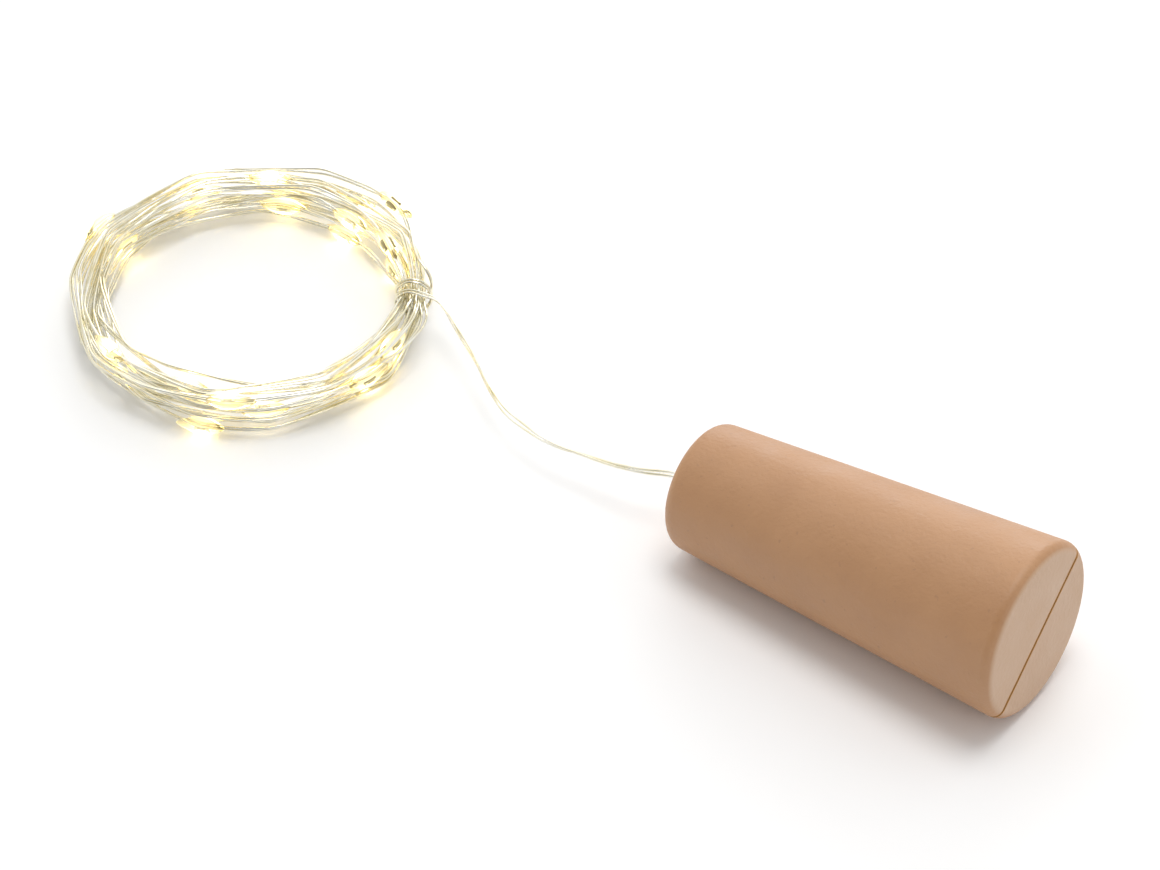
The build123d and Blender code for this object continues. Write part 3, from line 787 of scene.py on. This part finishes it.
def chipBase():
    material, tree, shader = newMaterial("chipBase")
    colour = colourRamp(tree, objectNoise(tree, chipFinish["baseScale"]), chipFinish["base"])
    tree.links.new(colour, shader.inputs["Base Color"])
    shader.inputs["Roughness"].default_value = chipFinish["baseRoughness"]
    return material


def solderTin(name="solderTin"):
    material, tree, shader = newMaterial(name)
    shader.inputs["Metallic"].default_value = 1.0
    grain = objectNoise(tree, chipFinish["tinScale"], 4.0)
    tree.links.new(colourRamp(tree, grain, chipFinish["tin"]), shader.inputs["Base Color"])
    tree.links.new(valueRange(tree, grain, *chipFinish["tinRoughness"]), shader.inputs["Roughness"])
    bumpFrom(tree, shader, grain, *chipFinish["tinBump"])
    return material


def makeDrops():
    luck = random.Random(lightDrop["seed"])
    shape = dropShape()
    chip = chipParts()
    drops, chips, glows = [], [], []
    for seat, roll in zip(dropSeats, lightDrop["rolls"]):
        place = dropPlace(seat, luck)
        girth = luck.uniform(*lightDrop["girths"])
        grown = Matrix.Diagonal((luck.uniform(*lightDrop["lengths"]), girth, girth, 1.0))
        rolled = Matrix.Rotation(math.radians(roll), 4, "X")
        drops.append((shape, place @ grown))
        chips += [(mesh, place @ rolled) for mesh in chip]
        glows += paintedDropGlow(shape, roll)
    dropPiece = putInScene(
        "light_drops", gather(drops), "case", ["led_beads"], [clearResin()]
    )
    glow = dropPiece.data.attributes.new("glow", "FLOAT", "POINT")
    glow.data.foreach_set("value", glows)
    for face in dropPiece.data.polygons:
        face.use_smooth = True
    rounder = dropPiece.modifiers.new("rounder", "SUBSURF")
    rounder.levels = lightDrop["rounding"]
    rounder.render_levels = lightDrop["rounding"]
    chipPiece = putInScene(
        "light_chips",
        gather(chips),
        "case",
        ["led_chips"],
        [litChip(), chipBase(), solderTin("chipPads")],
    )
    return dropPiece, chipPiece


lightDrops, lightChips = makeDrops()
print("light drops made:", len(dropSeats))


# Cork-coloured plastic of the two shells
corkTint = {
    "dark": (0.470, 0.232, 0.096),
    "main": (0.497, 0.251, 0.107),
    "light": (0.524, 0.270, 0.120),
    "cloudScale": 130.0,
    "speck": (0.330, 0.165, 0.080),
    "speckScale": 1700.0,
    "speckSpan": (0.70, 0.78),  # only the noise's peaks are specks
    "speckMost": 0.35,
    "roughness": (0.43, 0.56),
    "roughnessScale": 260.0,
    "shine": 0.9,
    "wave": (210.0, 0.0002, 0.7),  # scale, depth in metres and strength
    "grain": (2000.0, 0.00008, 0.9),
    # painted shade: the golden-brown colour given to the seam groove
    "seam": (0.52, 0.255, 0.062),
    "seamWay": (-0.05224, -0.60182, 0.79692),  # the way the cover lifts off
    "seamLevel": 0.0065826,  # how far along that way the seam lies
    "seamInner": 0.00008,  # the painted shade runs from here to seamOuter, on each side of the seam
    "seamOuter": 0.00036,
    "face": (0.60, 0.39, 0.245),  # painted reflection: the big end's flat face is painted paler
    "faceWay": (0.99786, 0.0, 0.06542),
    "faceLevel": 0.0229803,
    "faceEdge": 0.00025,
}


def mixColour(tree, factor, under, over):
    mix = addNode(tree, "ShaderNodeMix", {"data_type": "RGBA"})
    mix.inputs["B"].default_value = (*over, 1.0)
    tree.links.new(factor, mix.inputs["Factor"])
    tree.links.new(under, mix.inputs["A"])
    return mix.outputs["Result"]


# How far along a way each place on the surface lies
def placeAlong(tree, way):
    where = addNode(tree, "ShaderNodeTexCoord")
    along = addNode(tree, "ShaderNodeVectorMath", {"operation": "DOT_PRODUCT"})
    along.inputs[1].default_value = way
    tree.links.new(where.outputs["Object"], along.inputs[0])
    return along.outputs["Value"]


# Painted shade of the seam groove: a golden-brown band on each side of the seam
def paintedSeamShade(tree, colour):
    value = placeAlong(tree, corkTint["seamWay"])
    middle = 0.5 * (corkTint["seamOuter"] + corkTint["seamInner"])
    half = 0.5 * (corkTint["seamOuter"] - corkTint["seamInner"])
    for operation, second in (
        ("SUBTRACT", corkTint["seamLevel"]),
        ("ABSOLUTE", 0.0),
        ("SUBTRACT", middle),
        ("ABSOLUTE", 0.0),
        ("LESS_THAN", half),
    ):
        step = addNode(tree, "ShaderNodeMath", {"operation": operation})
        step.inputs[1].default_value = second
        tree.links.new(value, step.inputs[0])
        value = step.outputs["Value"]
    return mixColour(tree, value, colour, corkTint["seam"])


# Painted reflection: the big end's flat face is painted paler than the rest of the shell
def paintedFaceReflection(tree, colour):
    span = (corkTint["faceLevel"] - corkTint["faceEdge"], corkTint["faceLevel"])
    share = valueRange(tree, placeAlong(tree, corkTint["faceWay"]), 0.0, 1.0, span)
    return mixColour(tree, share, colour, corkTint["face"])


def corkPlastic():
    material, tree, shader = newMaterial("corkPlastic")
    cloud = objectNoise(tree, corkTint["cloudScale"], 3.0, 0.6)
    colour = colourRamp(tree, cloud, [
        (0.30, corkTint["dark"]),
        (0.50, corkTint["main"]),
        (0.72, corkTint["light"]),
    ])
    speck = objectNoise(tree, corkTint["speckScale"], 1.0)
    dots = valueRange(tree, speck, 0.0, corkTint["speckMost"], corkTint["speckSpan"])
    specked = mixColour(tree, dots, colour, corkTint["speck"])
    tree.links.new(paintedSeamShade(tree, paintedFaceReflection(tree, specked)), shader.inputs["Base Color"])
    patches = objectNoise(tree, corkTint["roughnessScale"], 4.0)
    tree.links.new(valueRange(tree, patches, *corkTint["roughness"]), shader.inputs["Roughness"])
    shader.inputs["Specular IOR Level"].default_value = corkTint["shine"]
    scale, depth, strength = corkTint["wave"]
    wave = bumpFrom(tree, shader, objectNoise(tree, scale, 2.0), depth, strength)
    scale, depth, strength = corkTint["grain"]
    bumpFrom(tree, shader, objectNoise(tree, scale, 3.0), depth, strength, under=wave)
    return material


# Finishes of the small parts: two colours, least and most roughness, and scale of the grain
metalFinishes = {
    "cellSteel": ((0.62, 0.61, 0.58), (0.78, 0.77, 0.74), (0.20, 0.34), 700.0),
    "contactNickel": ((0.60, 0.57, 0.50), (0.74, 0.71, 0.64), (0.22, 0.36), 900.0),
    "screwSteel": ((0.42, 0.42, 0.42), (0.58, 0.58, 0.57), (0.28, 0.42), 1200.0),
    "terminalBrass": ((0.62, 0.46, 0.20), (0.76, 0.59, 0.30), (0.24, 0.36), 1200.0),
    "strandSilver": ((0.50, 0.46, 0.33), (0.70, 0.67, 0.54), (0.24, 0.36), 900.0),
}
solidFinishes = {
    "blackPlastic": ((0.012, 0.012, 0.013), (0.026, 0.026, 0.028), (0.34, 0.50), 1500.0),
    "sealNylon": ((0.16, 0.17, 0.18), (0.24, 0.25, 0.26), (0.40, 0.55), 1300.0),
    "resistorCeramic": ((0.015, 0.015, 0.016), (0.035, 0.034, 0.034), (0.30, 0.45), 2200.0),
    "boardLaminate": ((0.012, 0.115, 0.040), (0.022, 0.165, 0.060), (0.25, 0.40), 800.0),
}
grainBump = {"metal": (0.00002, 0.4), "solid": (0.00003, 0.4)}  # depth in metres and strength
grainDetail = {"metal": 4.0, "solid": 3.0}


def grainFinish(name, kind, dark, light, roughness, scale):
    material, tree, shader = newMaterial(name)
    shader.inputs["Metallic"].default_value = 1.0 if kind == "metal" else 0.0
    grain = objectNoise(tree, scale, grainDetail[kind], 0.6)
    tree.links.new(colourRamp(tree, grain, [(0.35, dark), (0.65, light)]), shader.inputs["Base Color"])
    tree.links.new(valueRange(tree, grain, *roughness), shader.inputs["Roughness"])
    bumpFrom(tree, shader, grain, *grainBump[kind])
    return material


glueFinish = {
    "scale": 500.0,
    "colours": [(0.3, (0.80, 0.77, 0.68)), (0.7, (0.90, 0.88, 0.80))],
    "roughness": 0.32,
    "depth": 0.4,
    "reach": (0.002, 0.0018, 0.0014),  # metres that red, green and blue go in
    "bump": (0.0001, 0.5),
}


def hotGlue():
    material, tree, shader = newMaterial("hotGlue")
    grain = objectNoise(tree, glueFinish["scale"])
    tree.links.new(colourRamp(tree, grain, glueFinish["colours"]), shader.inputs["Base Color"])
    shader.inputs["Roughness"].default_value = glueFinish["roughness"]
    shader.inputs["Subsurface Weight"].default_value = glueFinish["depth"]
    shader.inputs["Subsurface Radius"].default_value = glueFinish["reach"]
    bumpFrom(tree, shader, grain, *glueFinish["bump"])
    return material


def dressNodes():
    cork = corkPlastic()
    tin = solderTin()
    made = {name: grainFinish(name, "metal", *finish) for name, finish in metalFinishes.items()}
    made.update({name: grainFinish(name, "solid", *finish) for name, finish in solidFinishes.items()})
    finishes = {
        "body_shell": cork,
        "battery_cover": cork,
        "cell_cans": made["cellSteel"],
        "cell_caps": made["cellSteel"],
        "cell_seals": made["sealNylon"],
        "negative_plate": made["contactNickel"],
        "negative_spring": made["contactNickel"],
        "positive_plate": made["contactNickel"],
        "circuit_board": made["boardLaminate"],
        "board_screws": made["screwSteel"],
        "resistor_body": made["resistorCeramic"],
        "resistor_caps": tin,
        "switch_base": made["blackPlastic"],
        "switch_terminals": made["terminalBrass"],
        "switch_can": made["cellSteel"],
        "switch_knob": made["blackPlastic"],
        "switch_wiper": made["terminalBrass"],
        "solder_joints": tin,
        "glue_plug": hotGlue(),
        "negative_strand": made["strandSilver"],
        "positive_strand": made["strandSilver"],
    }
    for name, material in finishes.items():
        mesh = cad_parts[name].data
        mesh.materials.clear()
        mesh.materials.append(material)


dressNodes()
print("CAD nodes dressed")


# Floor, world and lamps
studio = {
    "floorSize": 6.0,
    "floorColour": 0.93,
    "floorSeen": 1.02,  # its colour as the camera sees it, which keeps the ground white
    "lamps": {  # place, size and power
        "keyLamp": ((0.0, 0.10, 1.0), 0.5, 3.4),
        "backLamp": ((-0.60, 1.12, 0.34), 1.0, 4.6),
        "sideLamp": ((1.0, -0.10, 0.45), 0.6, 1.0),
    },
    "skyHeights": [(0.0, 0.34), (0.22, 0.72), (0.55, 1.0), (1.0, 1.0)],  # height and level
    "skyFront": (0.47, -0.56, 0.68),  # the darker side, with nothing but the room behind
    "skyFrontLevels": [(0.40, 1.0), (0.70, 0.36)],
}


# One where the ray is a camera, glossy or transmission ray, and nought elsewhere
def seenDirectly(tree):
    path = addNode(tree, "ShaderNodeLightPath")
    seen = path.outputs["Is Camera Ray"]
    for name in ("Is Glossy Ray", "Is Transmission Ray"):
        larger = addNode(tree, "ShaderNodeMath", {"operation": "MAXIMUM"})
        tree.links.new(seen, larger.inputs[0])
        tree.links.new(path.outputs[name], larger.inputs[1])
        seen = larger.outputs["Value"]
    return seen


def makeFloor():
    shape = bmesh.new()
    bmesh.ops.create_grid(shape, x_segments=1, y_segments=1, size=0.5 * studio["floorSize"])
    mesh = bpy.data.meshes.new("floor")
    shape.to_mesh(mesh)
    shape.free()
    floor = bpy.data.objects.new("floor", mesh)
    scene.collection.objects.link(floor)
    material, tree, shader = newMaterial("floorWhite")
    tree.nodes.remove(shader)
    diffuse = addNode(tree, "ShaderNodeBsdfDiffuse")
    level = valueRange(tree, seenDirectly(tree), studio["floorColour"], studio["floorSeen"], (0.0, 1.0))
    tree.links.new(level, diffuse.inputs["Color"])
    tree.links.new(diffuse.outputs["BSDF"], tree.nodes["Material Output"].inputs["Surface"])
    mesh.materials.append(material)


# A dome that is brightest overhead and darkest in front
def makeWorld():
    world = bpy.data.worlds.new("studioWorld")
    scene.world = world
    world.use_nodes = True
    tree = world.node_tree
    background = tree.nodes["Background"]
    where = addNode(tree, "ShaderNodeTexCoord")
    split = addNode(tree, "ShaderNodeSeparateXYZ")
    tree.links.new(where.outputs["Generated"], split.inputs["Vector"])
    facing = addNode(tree, "ShaderNodeVectorMath", {"operation": "DOT_PRODUCT"})
    facing.inputs[1].default_value = Vector(studio["skyFront"]).normalized()
    tree.links.new(where.outputs["Generated"], facing.inputs[0])
    levels = []
    for factor, stops in (
        (split.outputs["Z"], studio["skyHeights"]),
        (facing.outputs["Value"], studio["skyFrontLevels"]),
    ):
        levels.append(colourRamp(tree, factor, [(place, (level,) * 3) for place, level in stops]))
    product = addNode(tree, "ShaderNodeMix", {"data_type": "RGBA", "blend_type": "MULTIPLY"})
    product.inputs["Factor"].default_value = 1.0
    tree.links.new(levels[0], product.inputs["A"])
    tree.links.new(levels[1], product.inputs["B"])
    tree.links.new(product.outputs["Result"], background.inputs["Color"])


def makeLamp(name, place, size, power):
    data = bpy.data.lights.new(name, "AREA")
    data.shape = "DISK"
    data.size = size
    data.energy = power
    lamp = bpy.data.objects.new(name, data)
    lamp.location = place
    lamp.rotation_euler = (-Vector(place)).to_track_quat("-Z", "Y").to_euler()
    scene.collection.objects.link(lamp)


makeFloor()
makeWorld()
for name, (place, size, power) in studio["lamps"].items():
    makeLamp(name, place, size, power)
scene.view_settings.view_transform = "Standard"
print("floor, world and lamps set")
